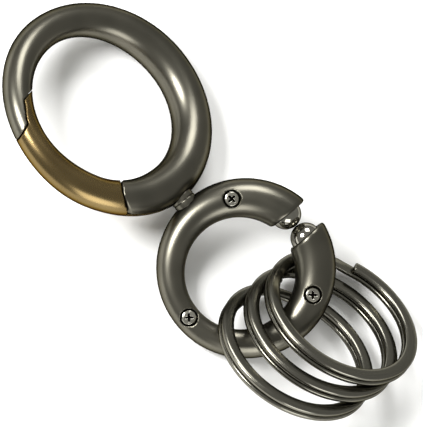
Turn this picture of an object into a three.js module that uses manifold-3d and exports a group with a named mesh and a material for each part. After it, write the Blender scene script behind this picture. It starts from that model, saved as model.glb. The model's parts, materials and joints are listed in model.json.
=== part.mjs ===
// Swivel key chain: a spring-gate ring, a swivel, a split C-ring closed by two
// sprung balls, and three two-turn split key rings threaded on the C-ring.
// Millimetres. Pieces are first built in the chain frame: +X runs from the gate
// ring's centre to the key rings along the swivel axis, +Z is the gate ring's
// axis. The finished chain is then turned and lifted so that it lies at rest.
import * as THREE from "three";
import { mergeVertices } from "three/addons/utils/BufferGeometryUtils.js";
import Module from "manifold-3d";

const wasm = await Module();
wasm.setup();

// ---- Driving dimensions -------------------------------------------------

const FIT = 0.3; // gap left between pieces that touch
const RUN = 0.15; // radial clearance of a pin or plunger in its bore

const GATE_RING = {
  radius: 18.4, // of the tube's centre line
  // Tube radius at stations round the ring, from the swivel at 0 degrees.
  stations: [
    [-105, 2.7],
    [-55, 3.15],
    [0, 4.0],
    [90, 3.85],
    [180, 3.15],
  ],
};

const GATE = {
  pinAngle: -29,
  pinRadius: 0.8,
  lobeRadius: 3.6, // round end of the ring's front lobe, about the pin
  tailReach: 7.2, // how far the gate's back half runs on past the pin
  // The nose and the hook's lip end on arcs about the pin, so the gate can swing.
  noseReach: 27.2, // from the pin to the nose's tip, inside the lip
  lipReach: 24.3, // from the pin to the step that meets the hook's lip
  seamRadius: 18.8, // where nose and hook lip lie over each other
  springTurns: 2.5,
  springWire: 0.22,
  springRadius: 1.35,
};

const C_RING = {
  centreX: 40,
  radius: 13.6,
  tube: 3.4, // tube radius beside the swivel
  swell: 0.75, // more at the gap, less opposite it
  twist: 34, // turned about the swivel axis, gap side up
  gap: 5.2, // between the two end faces
};

const SWIVEL = {
  shaftRadius: 1.3,
  collarRadius: 2.3,
  collarRoot: 0.8, // how far the collar is set into the gate ring
  collarTip: 0.85, // how far it runs into its seat in the C-ring
  headRadius: 2.3,
  headLength: 1.1,
  rootDepth: 3.0, // how far the stud is set into the gate ring
  neck: 2.4, // depth from the C-ring's outer face to the head
};

const SCREW = {
  angles: [30, 150, 270],
  headRadius: 1.4,
  headHeight: 0.8,
  shankRadius: 0.65,
  length: 3.6,
  sink: 0.45, // the head's top below the tube's crown
  recess: 0.35, // half width of the cross recess
};

const PLUNGER = {
  offset: 13.05, // bore axis from the C-ring's centre, along +Y
  ballRadius: 2.9,
  flangeRadius: 3.1,
  flange: 0.6,
  skirtEnd: 2.25, // back of the flange, below the end face
  sleeveInner: 3.0,
  sleeveOuter: 3.2,
  sleeveStart: 0.1,
  sleeveEnd: 1.5,
  boreDepth: 3.4,
  springBore: 1.35,
  springEnd: 6.6, // spring seat's depth below the end face
  springRadius: 0.95,
  springWire: 0.18,
  springTurns: 4,
};

const KEY_RING = {
  outerRadius: 15.85,
  wireWidth: 2.5,
  wireHeight: 1.3,
  edge: 0.4, // rounding of the flat wire's corners
  normal: [-0.24, 0.215, 0.947],
  centres: [
    [57.7, -3.9, 1.5],
    [58.3, 1.9, 3.4],
    [58.55, 6.65, 5.26],
  ],
};

// How the chain lies: rolled about the swivel axis, then pitched.
const REST = { roll: -15, pitch: 2.3 };

const TUBE_SIDES = 14; // sides of the round tubes' section
const RING_STEPS = 64;
const KEY_RING_STEPS = 48;

// ---- Materials ----------------------------------------------------------

const finish = (color, roughness, metalness = 1) =>
  new THREE.MeshStandardMaterial({ color, roughness, metalness });

const GUNMETAL = finish(0x6b675c, 0.38);
const ANTIQUE_GOLD = finish(0x8c7a4a, 0.35);
const NICKEL = finish(0xc9c6bd, 0.22);
const CHROME = finish(0xdedcd6, 0.08);
const KEY_RING_STEEL = finish(0x77735f, 0.25);
const SPRING_STEEL = finish(0x9a9a96, 0.3);

// ---- Helpers ------------------------------------------------------------

const rad = THREE.MathUtils.degToRad;

/** Turns a closed geometry into a solid that can be joined and cut. */
function solid(geometry, matrix = new THREE.Matrix4()) {
  const bare = (geometry.index ? geometry.toNonIndexed() : geometry).clone();
  for (const name of Object.keys(bare.attributes)) {
    if (name !== "position") bare.deleteAttribute(name);
  }
  bare.applyMatrix4(matrix);
  const merged = mergeVertices(bare, 1e-4);
  return new wasm.Manifold(
    new wasm.Mesh({
      numProp: 3,
      vertProperties: new Float32Array(merged.attributes.position.array),
      triVerts: new Uint32Array(merged.index.array),
    }),
  );
}

/** Turns a solid back into a named mesh. */
function part(name, body, material) {
  const data = body.getMesh();
  const geometry = new THREE.BufferGeometry();
  const position = new THREE.BufferAttribute(data.vertProperties, 3);
  geometry.setAttribute("position", position);
  geometry.setIndex(new THREE.BufferAttribute(data.triVerts, 1));
  geometry.computeVertexNormals();
  const mesh = new THREE.Mesh(geometry, material);
  mesh.name = name;
  return mesh;
}

const at = (x, y, z) => new THREE.Matrix4().makeTranslation(x, y, z);

/** A solid of revolution about the X axis, from [x, radius] points. */
function turned(points, sides = 20, place = new THREE.Matrix4()) {
  const profile = points.map(([x, radius]) => new THREE.Vector2(radius, x));
  const geometry = new THREE.LatheGeometry(profile, sides);
  const alongX = new THREE.Matrix4().makeRotationZ(-Math.PI / 2);
  return solid(geometry, place.clone().multiply(alongX));
}

/** A plain cylinder along X between two stations. */
function rod(x0, x1, radius, sides = 20, place = new THREE.Matrix4()) {
  const outline = [
    [x0, 0],
    [x0, radius],
    [x1, radius],
    [x1, 0],
  ];
  return turned(outline, sides, place);
}

/** A flat outline in the XY plane, raised from z0 to z1. */
function prism(shape, z0, z1, curveSegments = 24) {
  const settings = { depth: z1 - z0, bevelEnabled: false, curveSegments };
  return solid(new THREE.ExtrudeGeometry(shape, settings), at(0, 0, z0));
}

function circleShape(x, y, radius) {
  const shape = new THREE.Shape();
  shape.absarc(x, y, radius, 0, 2 * Math.PI, false);
  return shape;
}

/** A ring of round section whose tube radius changes round the ring. */
function taperedRing(radius, tubeAt, steps = RING_STEPS) {
  const torus = new THREE.TorusGeometry(radius, 1, TUBE_SIDES, steps);
  const position = torus.attributes.position;
  const point = new THREE.Vector3();
  for (let i = 0; i < position.count; i++) {
    point.fromBufferAttribute(position, i);
    const angle = Math.atan2(point.y, point.x);
    const outward = Math.hypot(point.x, point.y) - radius;
    const tube = tubeAt(angle);
    const reach = radius + outward * tube;
    position.setXYZ(
      i,
      reach * Math.cos(angle),
      reach * Math.sin(angle),
      point.z * tube,
    );
  }
  return solid(torus);
}

/** Smooth value between stations that repeat every turn. */
function stationValue(stations, degrees) {
  const first = stations[0][0];
  const turn = ((((degrees - first) % 360) + 360) % 360) + first;
  const closed = [...stations, [first + 360, stations[0][1]]];
  const next = closed.findIndex(([angle]) => angle > turn);
  const [a0, v0] = closed[next - 1];
  const [a1, v1] = closed[next];
  const blend = THREE.MathUtils.smoothstep(turn, a0, a1);
  return v0 + (v1 - v0) * blend;
}

/** A coil spring along X, wound about the X axis. */
function coil(x0, x1, radius, wire, turns, sides = 4, stepsPerTurn = 8) {
  class Helix extends THREE.Curve {
    getPoint(t, target = new THREE.Vector3()) {
      const angle = 2 * Math.PI * turns * t;
      return target.set(
        x0 + (x1 - x0) * t,
        radius * Math.cos(angle),
        radius * Math.sin(angle),
      );
    }
  }
  const section = new THREE.Shape();
  for (let i = 0; i < sides; i++) {
    const angle = (2 * Math.PI * i) / sides;
    const x = wire * Math.cos(angle);
    const y = wire * Math.sin(angle);
    if (i === 0) section.moveTo(x, y);
    else section.lineTo(x, y);
  }
  section.closePath();
  return new THREE.ExtrudeGeometry(section, {
    steps: Math.round(turns * stepsPerTurn),
    extrudePath: new Helix(),
    bevelEnabled: false,
  });
}

// ---- Gate ring ----------------------------------------------------------

const pinX = GATE_RING.radius * Math.cos(rad(GATE.pinAngle));
const pinY = GATE_RING.radius * Math.sin(rad(GATE.pinAngle));
const REACH = 30; // cutting outlines run out to this radius, clear of the tube
const INNER_REACH = 13; // and in to this one

const gateTube = (angle) =>
  stationValue(GATE_RING.stations, THREE.MathUtils.radToDeg(angle));

/** Outline of the gate seen along the ring's axis, grown by a margin. */
function gateOutline(margin) {
  const onRing = (radius, angle) => [
    radius * Math.cos(angle),
    radius * Math.sin(angle),
  ];
  // Angle about the ring's centre where an arc about the pin meets a radius.
  const meeting = (reach, radius) => {
    const side = GATE_RING.radius;
    const cosine = (radius ** 2 + side ** 2 - reach ** 2) / (2 * radius * side);
    return rad(GATE.pinAngle) - Math.acos(cosine);
  };
  const shape = new THREE.Shape();
  const arcAboutPin = (reach, fromRadius, toRadius) => {
    const [from, to] = [fromRadius, toRadius].map((radius) => {
      const [x, y] = onRing(radius, meeting(reach, radius));
      return Math.atan2(y - pinY, x - pinX);
    });
    shape.absarc(pinX, pinY, reach, from, to, true);
  };
  const seam = GATE.seamRadius + margin;
  const lip = GATE.lipReach + margin;
  const nose = GATE.noseReach + margin;
  const start = rad(GATE.pinAngle);
  shape.moveTo(...onRing(INNER_REACH, start));
  shape.lineTo(...onRing(REACH, start));
  shape.absarc(0, 0, REACH, start, meeting(lip, REACH), true);
  arcAboutPin(lip, REACH, seam);
  shape.absarc(0, 0, seam, meeting(lip, seam), meeting(nose, seam), true);
  arcAboutPin(nose, seam, INNER_REACH);
  shape.closePath();
  return shape;
}

/** A round lobe about the pin: one half of the lap joint, above or below. */
function lobe(radius, z0, z1) {
  return prism(circleShape(pinX, pinY, radius), z0, z1, 20);
}

const THICK = 6; // taller than any tube is high
const wholeRing = taperedRing(GATE_RING.radius, gateTube);
const frontLobe = lobe(GATE.lobeRadius, 0, THICK);
const tailRoom = lobe(GATE.tailReach + FIT, -THICK, FIT / 2);
const pinAlongZ = new THREE.Matrix4()
  .makeTranslation(pinX, pinY, 0)
  .multiply(new THREE.Matrix4().makeRotationY(-Math.PI / 2));

function gateSolid() {
  const plan = prism(gateOutline(0), -THICK, THICK);
  const cleared = lobe(GATE.lobeRadius + FIT, -FIT / 2, THICK);
  const bored = rod(-THICK, THICK, GATE.pinRadius + RUN, 16, pinAlongZ);
  return wholeRing
    .intersect(plan.add(lobe(GATE.tailReach, -THICK, -FIT / 2)))
    .subtract(cleared)
    .subtract(bored)
    .subtract(springPocket());
}

/** Round pocket in the gate's lobe for the torsion spring. */
function springPocket() {
  const depth = 1.7;
  return rod(-FIT / 2 - depth, FIT, GATE.springRadius + 0.45, 16, pinAlongZ);
}

function ringBodySolid() {
  const plan = prism(gateOutline(FIT), -THICK, THICK);
  const studBore = rod(
    GATE_RING.radius - 2,
    REACH,
    SWIVEL.shaftRadius + RUN,
    16,
  );
  const collarRoom = rod(
    ringFace - SWIVEL.collarRoot - RUN,
    REACH,
    SWIVEL.collarRadius + RUN,
  );
  const pinBore = rod(-2.2, 2.4, GATE.pinRadius + RUN, 16, pinAlongZ);
  return wholeRing
    .subtract(plan)
    .add(wholeRing.intersect(frontLobe))
    .subtract(tailRoom)
    .subtract(pinBore)
    .subtract(studBore)
    .subtract(collarRoom);
}

function gatePinSolid() {
  const tube = gateTube(rad(GATE.pinAngle));
  return rod(-tube + 0.5, 2.2, GATE.pinRadius, 16, pinAlongZ);
}

function gateSpringSolid() {
  const bottom = -1.65;
  const top = -0.45;
  const { springRadius, springWire, springTurns } = GATE;
  const wound = coil(bottom, top, springRadius, springWire, springTurns);
  return solid(wound, pinAlongZ);
}

// ---- Swivel -------------------------------------------------------------

const ringFace = GATE_RING.radius + gateTube(0);
const cRingFace = C_RING.centreX - C_RING.radius - C_RING.tube;
const headStart = cRingFace + SWIVEL.neck;

function studSolid() {
  const { shaftRadius, headRadius, headLength } = SWIVEL;
  return turned([
    [ringFace - SWIVEL.rootDepth, 0],
    [ringFace - SWIVEL.rootDepth, shaftRadius],
    [headStart, shaftRadius],
    [headStart, headRadius],
    [headStart + headLength, headRadius],
    [headStart + headLength, 0],
  ]);
}

/** Plain collar that shows between the two rings, round the stud. */
function collarSolid() {
  const inner = SWIVEL.shaftRadius + RUN;
  const start = ringFace - SWIVEL.collarRoot;
  const end = cRingFace + SWIVEL.collarTip;
  return turned([
    [start, inner],
    [start, SWIVEL.collarRadius],
    [end, SWIVEL.collarRadius],
    [end, inner],
    [start, inner],
  ]);
}

// ---- C-ring, in its own frame: swivel at -X, gap at +Y ------------------

const cTube = (angle) => C_RING.tube + C_RING.swell * Math.sin(angle);
const cWhole = taperedRing(C_RING.radius, cTube);
const toLocalX = (x) => x - C_RING.centreX;
const endFace = C_RING.gap / 2;
const sides = { left: -1, right: 1 };

/** Everything on one side of the parting plane. */
function half(z0, z1) {
  const block = new THREE.BoxGeometry(2 * REACH, 2 * REACH, z1 - z0);
  return solid(block, at(0, 0, (z0 + z1) / 2));
}

/** The gap between the end faces, open at the top of the ring. */
function gapCut() {
  const block = new THREE.BoxGeometry(C_RING.gap, REACH, 2 * THICK);
  return solid(block, at(0, REACH / 2, 0));
}

/** Place of a plunger: X runs into the metal from the end face. */
function plungerPlace(direction) {
  return new THREE.Matrix4()
    .makeTranslation(direction * endFace, PLUNGER.offset, 0)
    .multiply(new THREE.Matrix4().makeRotationY(direction > 0 ? 0 : Math.PI));
}

function plungerBore(direction) {
  const { sleeveOuter, boreDepth, springBore, springEnd } = PLUNGER;
  const outline = [
    [-1, 0],
    [-1, sleeveOuter + RUN],
    [boreDepth, sleeveOuter + RUN],
    [boreDepth, springBore],
    [springEnd, springBore],
    [springEnd, 0],
  ];
  return turned(outline, 20, plungerPlace(direction));
}

/** Room inside the shells for the stud's shaft and its head. */
function studPocket() {
  const clear = 0.2;
  const shaft = SWIVEL.shaftRadius + clear;
  const head = SWIVEL.headRadius + clear;
  const start = toLocalX(headStart) - clear;
  const end = toLocalX(headStart + SWIVEL.headLength) + clear;
  return turned([
    [-REACH, 0],
    [-REACH, shaft],
    [start, shaft],
    [start, head],
    [end, head],
    [end, 0],
  ]);
}

/** Seat for the collar in the C-ring's outer face. */
function collarSeat() {
  const radius = SWIVEL.collarRadius + RUN;
  return rod(-REACH, toLocalX(cRingFace) + SWIVEL.collarTip + RUN, radius, 20);
}

/** Place of a screw: X runs up the screw's axis, out of the front face. */
function screwPlace(degrees) {
  return new THREE.Matrix4()
    .makeRotationZ(rad(degrees))
    .multiply(at(C_RING.radius, 0, 0))
    .multiply(new THREE.Matrix4().makeRotationY(-Math.PI / 2));
}

const screwTop = (degrees) => cTube(rad(degrees)) - SCREW.sink;

/** Counterbore and clearance hole for one screw. */
function screwHole(degrees) {
  const top = screwTop(degrees);
  const seat = top - SCREW.headHeight - 0.1;
  const bottom = top - SCREW.length - 0.2;
  const outline = [
    [bottom, 0],
    [bottom, SCREW.shankRadius + 0.1],
    [seat, SCREW.shankRadius + 0.1],
    [seat, SCREW.headRadius + RUN],
    [top + 1.2, SCREW.headRadius + RUN],
    [top + 1.2, 0],
  ];
  return turned(outline, 16, screwPlace(degrees));
}

function screwSolid(degrees) {
  const top = screwTop(degrees);
  const neck = top - SCREW.headHeight;
  const place = screwPlace(degrees);
  const outline = [
    [top - SCREW.length, 0],
    [top - SCREW.length, SCREW.shankRadius],
    [neck, SCREW.shankRadius],
    [neck, SCREW.headRadius],
    [top - 0.25, SCREW.headRadius],
    [top, SCREW.headRadius - 0.35],
    [top, 0],
  ];
  const span = 1.8;
  const depth = 0.45;
  let screw = turned(outline, 16, place);
  for (const [y, z] of [
    [span, 2 * SCREW.recess],
    [2 * SCREW.recess, span],
  ]) {
    const bar = new THREE.BoxGeometry(2 * depth, y, z);
    screw = screw.subtract(solid(bar, place.clone().multiply(at(top, 0, 0))));
  }
  return screw;
}

/** One half shell: the front holds the screw heads, the back their threads. */
function shellSolid(z0, z1) {
  let shell = cWhole
    .intersect(half(z0, z1))
    .subtract(gapCut())
    .subtract(studPocket())
    .subtract(collarSeat());
  for (const direction of Object.values(sides)) {
    shell = shell.subtract(plungerBore(direction));
  }
  for (const degrees of SCREW.angles) {
    shell = shell.subtract(screwHole(degrees));
  }
  return shell;
}

/** Ball-nosed plunger: a ball that grows into a flanged, hollow skirt. */
function ballSolid(direction) {
  const { ballRadius, flangeRadius, flange, skirtEnd, springRadius } = PLUNGER;
  const centre = -endFace + RUN + ballRadius;
  const hollow = springRadius + 0.3;
  const points = [[centre - ballRadius, 0]];
  for (let degrees = 15; degrees <= 90; degrees += 15) {
    points.push([
      centre - ballRadius * Math.cos(rad(degrees)),
      ballRadius * Math.sin(rad(degrees)),
    ]);
  }
  points.push(
    [skirtEnd - flange, ballRadius],
    [skirtEnd - flange, flangeRadius],
    [skirtEnd, flangeRadius],
    [skirtEnd, hollow],
    [centre + 0.6, hollow],
    [centre + 0.6, 0],
  );
  return turned(points, 20, plungerPlace(direction));
}

/** Sleeve pressed into the bore's mouth, which keeps the plunger in. */
function sleeveSolid(direction) {
  const { sleeveInner, sleeveOuter, sleeveStart, sleeveEnd } = PLUNGER;
  const outline = [
    [sleeveStart, sleeveInner],
    [sleeveStart, sleeveOuter],
    [sleeveEnd, sleeveOuter],
    [sleeveEnd, sleeveInner],
    [sleeveStart, sleeveInner],
  ];
  return turned(outline, 20, plungerPlace(direction));
}

function ballSpringSolid(direction) {
  const { springEnd, springRadius, springWire, springTurns } = PLUNGER;
  const start = 1.35;
  const end = springEnd - springWire - 0.15;
  const wound = coil(start, end, springRadius, springWire, springTurns);
  return solid(wound, plungerPlace(direction));
}

// ---- Split key rings ----------------------------------------------------

/** Flat wire wound twice, drawn as two rounded coils joined along one band. */
function keyRingGeometry() {
  const { outerRadius, wireWidth, wireHeight, edge } = KEY_RING;
  const inner = outerRadius - wireWidth;
  const groove = 0.2; // depth of the line between the coils
  const upperHalf = [
    [inner + groove, 0],
    [inner, edge / 2],
    [inner, wireHeight - edge],
    [inner + edge, wireHeight],
    [outerRadius - edge, wireHeight],
    [outerRadius, wireHeight - edge],
    [outerRadius, edge / 2],
    [outerRadius - groove, 0],
  ];
  const lower = upperHalf
    .slice(1, -1)
    .map(([radius, height]) => [radius, -height]);
  const loop = [...upperHalf, ...lower.reverse(), upperHalf[0]].reverse();
  const points = loop.map(([x, y]) => new THREE.Vector2(x, y));
  const aboutZ = new THREE.Matrix4().makeRotationX(Math.PI / 2);
  return new THREE.LatheGeometry(points, KEY_RING_STEPS).applyMatrix4(aboutZ);
}

function keyRingPlace([x, y, z]) {
  const normal = new THREE.Vector3(...KEY_RING.normal).normalize();
  const up = new THREE.Vector3(0, 0, 1);
  const turn = new THREE.Quaternion().setFromUnitVectors(up, normal);
  const one = new THREE.Vector3(1, 1, 1);
  return new THREE.Matrix4().compose(new THREE.Vector3(x, y, z), turn, one);
}

// ---- Assembly -----------------------------------------------------------

const gateRing = new THREE.Group();
gateRing.add(
  part("ring_body", ringBodySolid(), GUNMETAL),
  part("gate", gateSolid(), ANTIQUE_GOLD),
  part("gate_pin", gatePinSolid(), NICKEL),
  part("gate_spring", gateSpringSolid(), SPRING_STEEL),
  part("swivel_stud", studSolid(), NICKEL),
  part("swivel_collar", collarSolid(), GUNMETAL),
);

const cRing = new THREE.Group();
cRing.position.x = C_RING.centreX;
cRing.rotation.x = rad(C_RING.twist);
cRing.add(
  part("c_ring_front_shell", shellSolid(FIT / 2, THICK), GUNMETAL),
  part("c_ring_back_shell", shellSolid(-THICK, -FIT / 2), GUNMETAL),
);
SCREW.angles.forEach((degrees, i) => {
  cRing.add(part(`shell_screw_${i + 1}`, screwSolid(degrees), NICKEL));
});
for (const [side, direction] of Object.entries(sides)) {
  cRing.add(
    part(`ball_${side}`, ballSolid(direction), CHROME),
    part(`ball_sleeve_${side}`, sleeveSolid(direction), NICKEL),
    part(`ball_spring_${side}`, ballSpringSolid(direction), SPRING_STEEL),
  );
}

const keyRings = new THREE.Group();
KEY_RING.centres.forEach((centre, i) => {
  const placed = solid(keyRingGeometry(), keyRingPlace(centre));
  keyRings.add(part(`key_ring_${i + 1}`, placed, KEY_RING_STEEL));
});

const chain = new THREE.Group();
chain.add(gateRing, cRing, keyRings);
chain.rotation.set(rad(REST.roll), rad(REST.pitch), 0, "YXZ");

// The origin is below the chain's middle, at the height that it lies on.
const keyChain = new THREE.Group();
keyChain.add(chain);
keyChain.updateMatrixWorld(true);
const box = new THREE.Box3().setFromObject(keyChain, true);
const middle = box.getCenter(new THREE.Vector3());
chain.position.set(-middle.x, -middle.y, -box.min.z);

export default keyChain;
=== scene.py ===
"""A swivel key chain in detail: gate ring, swivel, sprung C-ring and split key rings.

Pieces are built in millimetres in the chain's own frame, where +X runs along the swivel
from the gate ring's centre to the split rings and +Z is the gate ring's axis. The packed
joints say where that frame lies, so every piece lands on its CAD solid.
"""
import json
import logging
import math
from collections.abc import Callable, Iterable, Sequence
from dataclasses import dataclass
from enum import Enum

import bpy
import numpy as np
from mathutils import Matrix, Vector


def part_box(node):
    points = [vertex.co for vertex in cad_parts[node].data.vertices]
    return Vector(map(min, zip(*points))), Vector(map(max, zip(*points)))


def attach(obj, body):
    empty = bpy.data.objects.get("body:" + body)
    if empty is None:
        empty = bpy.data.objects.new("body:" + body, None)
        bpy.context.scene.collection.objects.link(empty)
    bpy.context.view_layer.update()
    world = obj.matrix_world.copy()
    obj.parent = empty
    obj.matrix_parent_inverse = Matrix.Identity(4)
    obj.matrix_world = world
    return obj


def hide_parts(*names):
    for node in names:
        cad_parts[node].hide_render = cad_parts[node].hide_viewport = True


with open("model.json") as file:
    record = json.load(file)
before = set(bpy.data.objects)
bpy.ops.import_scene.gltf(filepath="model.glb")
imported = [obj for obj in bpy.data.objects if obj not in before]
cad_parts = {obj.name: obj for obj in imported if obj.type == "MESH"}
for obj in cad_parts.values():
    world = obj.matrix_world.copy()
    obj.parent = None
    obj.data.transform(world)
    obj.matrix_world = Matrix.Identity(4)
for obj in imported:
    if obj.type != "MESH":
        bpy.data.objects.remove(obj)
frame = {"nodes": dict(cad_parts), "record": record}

LOG = logging.getLogger("key_chain")
MM = 0.001  # metres in a millimetre
FULL_TURN = 2 * math.pi
TOOL_SIDES = 72  # sides of an upright round cutting tool
DRILL_SIDES = 32  # sides of a small drilled hole
RECESS_SHADE = "recess_shade"  # mesh attribute of painted shade, from 0, unshaded, to 1, fully shaded
RECESS_SHADE_TONE = "#12110e"  # near-black painted shade deep in a recess
Point = tuple[float, float]


# ---- Where the chain lies ------------------------------------------------------------


def joint(name: str) -> dict:
    """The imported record's joint of that name."""
    return next(j for j in frame["record"]["behaviour"]["joints"] if j["name"] == name)


def chain_place() -> Matrix:
    """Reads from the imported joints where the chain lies.

    Returns:
        Matrix from the chain's millimetres to the frame's metres.
    """
    swivel = joint("swivel")
    along = Vector(swivel["axis"]).normalized()
    gate_axis = -Vector(joint("gate_hinge")["axis"])
    across = gate_axis.cross(along).normalized()
    upright = along.cross(across)
    turn = Matrix((along, across, upright)).transposed().to_4x4()
    return Matrix.Translation(Vector(swivel["pos_m"])) @ turn @ Matrix.Scale(MM, 4)


def middle_of(node: str) -> Vector:
    """Middle of a CAD node's box, in metres."""
    low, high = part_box(node)
    return (low + high) / 2


# ---- Mesh work -----------------------------------------------------------------------


def eased(share: float | np.ndarray) -> float | np.ndarray:
    """A share from 0 to 1, made to start and stop gently."""
    return share * share * (3 - 2 * share)


def grid_faces(rows: int, columns: int, closed_rows: bool) -> list[list[int]]:
    """Quads of a grid of points whose columns always close on themselves.

    Args:
        rows: number of rings of points.
        columns: points in each ring.
        closed_rows: whether the last ring joins the first.

    Returns:
        Faces as lists of point numbers.
    """
    faces = []
    for row in range(rows if closed_rows else rows - 1):
        here = row * columns
        there = ((row + 1) % rows) * columns
        for column in range(columns):
            beside = (column + 1) % columns
            faces.append([here + column, there + column, there + beside, here + beside])
    return faces


def rounded(points: Sequence[Point], radius: float, steps: int = 5) -> list[Point]:
    """An open outline with its inner corners rounded off.

    Args:
        points: the outline's corners.
        radius: distance from each corner at which the rounding starts.
        steps: points on each rounding.

    Returns:
        The outline with its corners replaced by short curves.
    """
    most = 0.45  # share of a side that one rounding may take up
    out = [tuple(points[0])]
    for before, corner, after in zip(points, points[1:], points[2:]):
        a, b, c = (Vector(p) for p in (before, corner, after))
        cut = min(radius, (a - b).length * most, (c - b).length * most)
        start = b + (a - b).normalized() * cut
        end = b + (c - b).normalized() * cut
        for step in range(steps + 1):
            t = step / steps
            out.append(tuple(start * (1 - t) ** 2 + b * 2 * t * (1 - t) + end * t ** 2))
    out.append(tuple(points[-1]))
    return out


class Solid:
    """A closed mesh that can be cut, joined, softened and placed."""

    def __init__(self, name: str, points: Iterable, faces: list[list[int]]) -> None:
        """Makes the mesh and links its object to the scene.

        Args:
            name: name of the mesh and of its object.
            points: x, y and z of every point.
            faces: point numbers of every face.
        """
        mesh = bpy.data.meshes.new(name)
        mesh.from_pydata([tuple(p) for p in points], [], faces)
        mesh.update()
        self.thing = bpy.data.objects.new(name, mesh)
        bpy.context.scene.collection.objects.link(self.thing)

    def modified(self, kind: str, **settings: object) -> "Solid":
        """Applies one modifier to the mesh.

        Args:
            kind: the modifier's type.
            settings: the modifier's properties.

        Returns:
            This solid.
        """
        modifier = self.thing.modifiers.new(kind, kind)
        for name, value in settings.items():
            setattr(modifier, name, value)
        graph = bpy.context.evaluated_depsgraph_get()
        made = bpy.data.meshes.new_from_object(self.thing.evaluated_get(graph))
        self.thing.modifiers.clear()
        old = self.thing.data
        self.thing.data = made
        bpy.data.meshes.remove(old)
        return self

    def _combined(self, operation: str, tools: Iterable["Solid"]) -> "Solid":
        """Applies one boolean after another, and uses up the tools.

        Args:
            operation: the boolean's kind.
            tools: the other solids.

        Returns:
            This solid.
        """
        for tool in tools:
            self.modified("BOOLEAN", operation=operation, object=tool.thing, solver="MANIFOLD")
            bpy.data.objects.remove(tool.thing, do_unlink=True)
        return self

    def minus(self, *tools: "Solid") -> "Solid":
        """Cuts the tools away."""
        return self._combined("DIFFERENCE", tools)

    def plus(self, *tools: "Solid") -> "Solid":
        """Joins the tools on."""
        return self._combined("UNION", tools)

    def within(self, tool: "Solid") -> "Solid":
        """Keeps what lies inside the tool."""
        return self._combined("INTERSECT", [tool])

    def softened(self, grain: float, passes: int) -> "Solid":
        """Gives cast edges their radius: an even skin of small quads, then smoothed.

        Args:
            grain: size of the quads.
            passes: smoothing passes; more of them round the edges further.

        Returns:
            This solid.
        """
        self.modified("REMESH", mode="VOXEL", voxel_size=grain, adaptivity=0.0)
        return self.modified("SMOOTH", factor=0.5, iterations=passes)

    def points(self) -> np.ndarray:
        """Reads the mesh's points.

        Returns:
            The points, one row each.
        """
        flat = np.empty(len(self.thing.data.vertices) * 3)
        self.thing.data.vertices.foreach_get("co", flat)
        return flat.reshape(-1, 3)

    def moved(self, rule: Callable[[np.ndarray], np.ndarray]) -> "Solid":
        """Moves every point.

        Args:
            rule: takes the points, one row each, and returns where they go.

        Returns:
            This solid.
        """
        mesh = self.thing.data
        mesh.vertices.foreach_set("co", rule(self.points()).ravel())
        mesh.update()
        return self

    def shade_painted(self, rule: Callable[[np.ndarray], np.ndarray]) -> "Solid":
        """Writes how much painted shade darkens every point.

        Args:
            rule: takes the points, one row each, and returns the painted shade on each.

        Returns:
            This solid.
        """
        layer = self.thing.data.attributes.new(RECESS_SHADE, "FLOAT", "POINT")
        layer.data.foreach_set("value", np.clip(rule(self.points()), 0, 1))
        return self

    def placed(self, place: Matrix) -> "Solid":
        """Moves the mesh itself by a matrix, so that the object stays at the origin."""
        self.thing.data.transform(place)
        return self


def facing_out(solid: Solid) -> Solid:
    """Turns a closed mesh so that its faces point outwards.

    Args:
        solid: the mesh to turn.

    Returns:
        The same solid.
    """
    mesh = solid.thing.data
    mesh.calc_loop_triangles()
    volume = 0.0
    for triangle in mesh.loop_triangles:
        a, b, c = (mesh.vertices[i].co for i in triangle.vertices)
        volume += a.dot(b.cross(c))
    if volume < 0:
        mesh.flip_normals()
    return solid


def turned(
    name: str, profile: Sequence[Point], sides: int = 48, place: Matrix = Matrix()
) -> Solid:
    """A solid of revolution about the X axis.

    Args:
        name: name of the mesh.
        profile: [x, radius] points; closed, or from axis to axis.
        sides: number of sides.
        place: matrix that is applied to the mesh.

    Returns:
        The closed solid.
    """
    closed = tuple(profile[0]) == tuple(profile[-1])
    ring = list(profile[:-1]) if closed else list(profile[1:-1])
    angles = [FULL_TURN * side / sides for side in range(sides)]
    points = [(x, r * math.cos(a), r * math.sin(a)) for x, r in ring for a in angles]
    faces = grid_faces(len(ring), sides, closed)
    if not closed:
        for (x, _), row in ((profile[0], 0), (profile[-1], len(ring) - 1)):
            tip = len(points)
            points.append((x, 0.0, 0.0))
            base = row * sides
            for side in range(sides):
                edge = [base + side, base + (side + 1) % sides]
                faces.append([tip] + (edge if row == 0 else edge[::-1]))
    return facing_out(Solid(name, points, faces)).placed(place)


def drill(name: str, low: float, high: float, radius: float, place: Matrix) -> Solid:
    """A small round tool along the X axis of a frame."""
    profile = [(low, 0), (low, radius), (high, radius), (high, 0)]
    return turned(name, profile, DRILL_SIDES, place)


def prism(name: str, outline: Sequence[Point], low: float, high: float) -> Solid:
    """A flat outline in the XY plane, raised from one height to another.

    Args:
        name: name of the mesh.
        outline: the outline's points, which close on themselves.
        low: height of the bottom.
        high: height of the top.

    Returns:
        The closed solid.
    """
    count = len(outline)
    points = [(x, y, z) for z in (low, high) for x, y in outline]
    faces = grid_faces(2, count, False)
    faces += [list(range(count)), list(range(2 * count - 1, count - 1, -1))]
    return facing_out(Solid(name, points, faces))


def arc(centre: Point, radius: float, start: float, end: float, steps: int) -> list[Point]:
    """Points on an arc between two angles in radians, both ends included."""
    angles = np.linspace(start, end, steps + 1)
    return [(centre[0] + radius * math.cos(a), centre[1] + radius * math.sin(a)) for a in angles]


def disc(name: str, centre: Point, radius: float, low: float, high: float) -> Solid:
    """An upright round block."""
    return prism(name, arc(centre, radius, 0.0, FULL_TURN, TOOL_SIDES)[:-1], low, high)


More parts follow.
